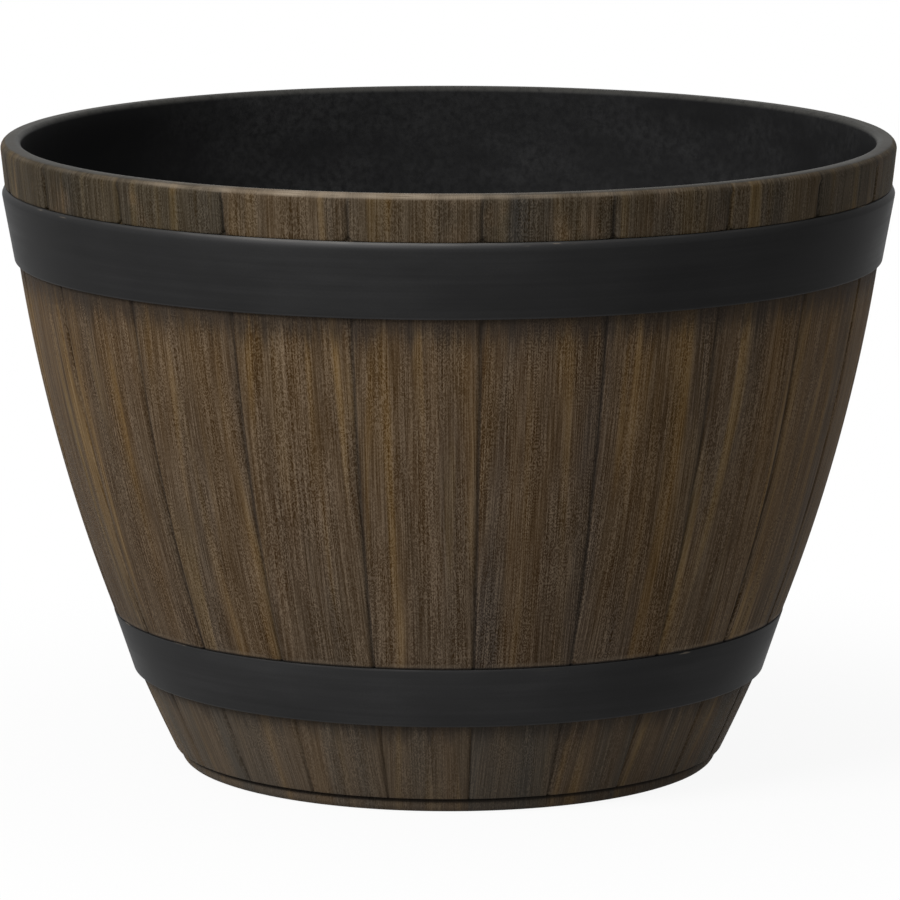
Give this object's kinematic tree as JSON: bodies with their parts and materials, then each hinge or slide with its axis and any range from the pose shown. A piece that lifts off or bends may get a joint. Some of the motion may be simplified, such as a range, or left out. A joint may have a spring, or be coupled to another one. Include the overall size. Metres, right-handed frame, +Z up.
{
  "type": "barrel planter",
  "caption": "Round half-barrel planter: bowed wall grooved into staves, black hoops, thick rounded rim, foot bead and a drain hole closed by a pull-out rubber plug.",
  "frame": {"origin": "centre of the foot ring, on the ground", "axes": "+Z up along the planter's axis, -Y towards the front that the picture shows"},
  "size_m": [0.5214, 0.5214, 0.3676],
  "materials": {
    "walnut_resin": "moulded wood grain, dark walnut glaze outside, bare black resin inside",
    "hoop_black": "satin black paint",
    "plug_rubber": "matte black rubber"
  },
  "bodies": {
    "tub": {"barrel_shell": "walnut_resin", "upper_hoop": "hoop_black", "lower_hoop": "hoop_black"},
    "plug": {"drain_plug": "plug_rubber"}
  },
  "joints": [
    {"name": "plug_lift", "type": "slide", "parent": "tub", "child": "plug", "axis": [0, 0, 1], "range_m": [0, 0.4]}
  ]
}
